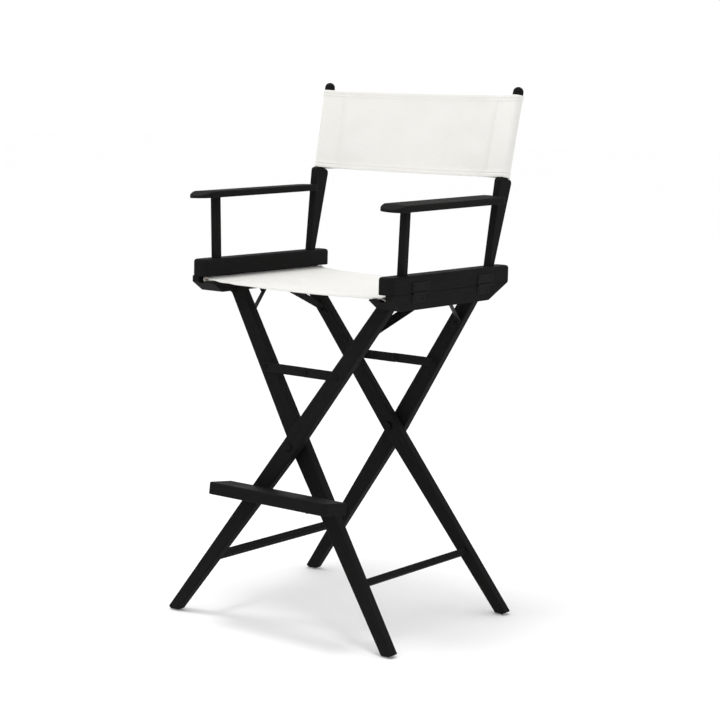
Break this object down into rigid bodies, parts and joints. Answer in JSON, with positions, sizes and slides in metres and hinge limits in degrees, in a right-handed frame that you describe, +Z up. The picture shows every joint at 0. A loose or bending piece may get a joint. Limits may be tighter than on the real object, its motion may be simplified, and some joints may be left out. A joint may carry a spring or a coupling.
{
  "type": "folding director chair",
  "caption": "Tall folding director chair: crossed wooden legs, side rails with hinged arm frames, sling seat and back of canvas, swing-down footrest.",
  "frame": {"origin": "centre of the footprint, on the floor", "axes": "+Z up, -Y to the front, where the footrest is, +X to the right of a viewer who faces the front; node names use the same left and right"},
  "size_m": [0.572, 0.528, 1.1246],
  "materials": {
    "painted_wood": "near-black satin paint over hardwood, faint grain",
    "painted_steel": "near-black satin painted steel",
    "washer_steel": "plain zinc-plated steel",
    "canvas": "off-white plain-weave cotton canvas",
    "bare_wood": "bare hardwood dowel",
    "glide_plastic": "pale moulded plastic"
  },
  "bodies": {
    "rail_right": {"seat_rail_right": "painted_wood", "pivot_pins_right": "washer_steel", "hinge_lower_leaves_right": "painted_steel", "hinge_lower_screws_right": "painted_steel", "hinge_pins_right": "painted_steel", "canvas_dowel_right": "bare_wood", "seat_sling": "canvas"},
    "legs_outer": {"leg_front_outer": "painted_wood", "leg_rear_outer": "painted_wood", "stretcher_outer": "painted_wood", "glides_outer": "glide_plastic", "cross_bolt_front": "painted_steel", "cross_bolt_rear": "painted_steel", "cross_spacers": "washer_steel", "strap_front_outer": "painted_steel", "strap_rear_outer": "painted_steel", "strap_screws_outer": "painted_steel", "brace_rivets_outer": "painted_steel", "footrest_bolt": "painted_steel"},
    "legs_inner": {"leg_front_inner": "painted_wood", "leg_rear_inner": "painted_wood", "stretcher_inner": "painted_wood", "glides_inner": "glide_plastic", "strap_front_inner": "painted_steel", "strap_rear_inner": "painted_steel", "strap_screws_inner": "painted_steel", "brace_rivets_inner": "painted_steel", "footrest_peg": "painted_steel"},
    "rail_left": {"seat_rail_left": "painted_wood", "pivot_pins_left": "washer_steel", "hinge_lower_leaves_left": "painted_steel", "hinge_lower_screws_left": "painted_steel", "hinge_pins_left": "painted_steel", "canvas_dowel_left": "bare_wood"},
    "arm_right": {"arm_block_right": "painted_wood", "front_post_right": "painted_wood", "back_post_right": "painted_wood", "armrest_right": "painted_wood", "hinge_upper_leaves_right": "painted_steel", "hinge_upper_screws_right": "painted_steel"},
    "arm_left": {"arm_block_left": "painted_wood", "front_post_left": "painted_wood", "back_post_left": "painted_wood", "armrest_left": "painted_wood", "hinge_upper_leaves_left": "painted_steel", "hinge_upper_screws_left": "painted_steel"},
    "back_cloth": {"back_sling": "canvas"},
    "footrest": {"footrest_board": "painted_wood", "footrest_bracket": "painted_steel"},
    "brace_front_inner": {"brace_link_front_inner": "painted_steel"},
    "brace_front_outer": {"brace_link_front_outer": "painted_steel"},
    "brace_rear_inner": {"brace_link_rear_inner": "painted_steel"},
    "brace_rear_outer": {"brace_link_rear_outer": "painted_steel"}
  },
  "joints": [
    {"name": "fold", "type": "hinge", "parent": "rail_right", "child": "legs_outer", "pos_m": [0.21284, 0.01987, 0.6885], "axis": [0, -1, 0], "range_deg": [0, 29], "deforming": ["seat_sling", "back_sling"]},
    {"name": "legs_inner_turn", "type": "hinge", "parent": "legs_outer", "child": "legs_inner", "pos_m": [0, 0.01987, 0.3834], "axis": [0, -1, 0], "range_deg": [-58, 0]},
    {"name": "rail_left_turn", "type": "hinge", "parent": "legs_inner", "child": "rail_left", "pos_m": [-0.21284, 0.01987, 0.6885], "axis": [0, -1, 0], "range_deg": [0, 29]},
    {"name": "brace_front_inner_turn", "type": "hinge", "parent": "legs_inner", "child": "brace_front_inner", "pos_m": [-0.10493, -0.13299, 0.53382], "axis": [0, -0.9924, 0.123], "range_deg": [-36.32, 0]},
    {"name": "brace_front_outer_turn", "type": "hinge", "parent": "legs_outer", "child": "brace_front_outer", "pos_m": [0.10493, -0.13299, 0.53382], "axis": [0, -0.9924, 0.123], "range_deg": [0, 65.78]},
    {"name": "brace_rear_inner_turn", "type": "hinge", "parent": "legs_inner", "child": "brace_rear_inner", "pos_m": [-0.10493, 0.17273, 0.53382], "axis": [0, -0.9924, -0.123], "range_deg": [-36.32, 0]},
    {"name": "brace_rear_outer_turn", "type": "hinge", "parent": "legs_outer", "child": "brace_rear_outer", "pos_m": [0.10493, 0.17273, 0.53382], "axis": [0, -0.9924, -0.123], "range_deg": [0, 65.78]},
    {"name": "arm_right_open", "type": "hinge", "parent": "rail_right", "child": "arm_right", "pos_m": [0.2646, 0.01987, 0.717], "axis": [0, 1, 0], "range_deg": [0, 110], "deforming": ["back_sling"]},
    {"name": "arm_left_open", "type": "hinge", "parent": "rail_left", "child": "arm_left", "pos_m": [-0.2646, 0.01987, 0.717], "axis": [0, -1, 0], "range_deg": [0, 110], "deforming": ["back_sling"]},
    {"name": "footrest_swing", "type": "hinge", "parent": "legs_outer", "child": "footrest", "pos_m": [-0.07032, -0.18962, 0.2826], "axis": [0, -0.9924, 0.123], "range_deg": [0, 45]},
    {"name": "back_sling_lift", "type": "slide", "parent": "rail_right", "child": "back_cloth", "axis": [0, 0.1857, 0.9826], "range_m": [0, 0.19], "deforming": ["back_sling"]}
  ],
  "couplings": [
    {"joint": "legs_inner_turn", "follows": "fold", "ratio": -2},
    {"joint": "rail_left_turn", "follows": "fold", "ratio": 1},
    {"joint": "brace_front_inner_turn", "follows": "fold", "ratio": -1.2504},
    {"joint": "brace_front_outer_turn", "follows": "fold", "ratio": 2.2664},
    {"joint": "brace_rear_inner_turn", "follows": "fold", "ratio": -1.2504},
    {"joint": "brace_rear_outer_turn", "follows": "fold", "ratio": 2.2664}
  ]
}
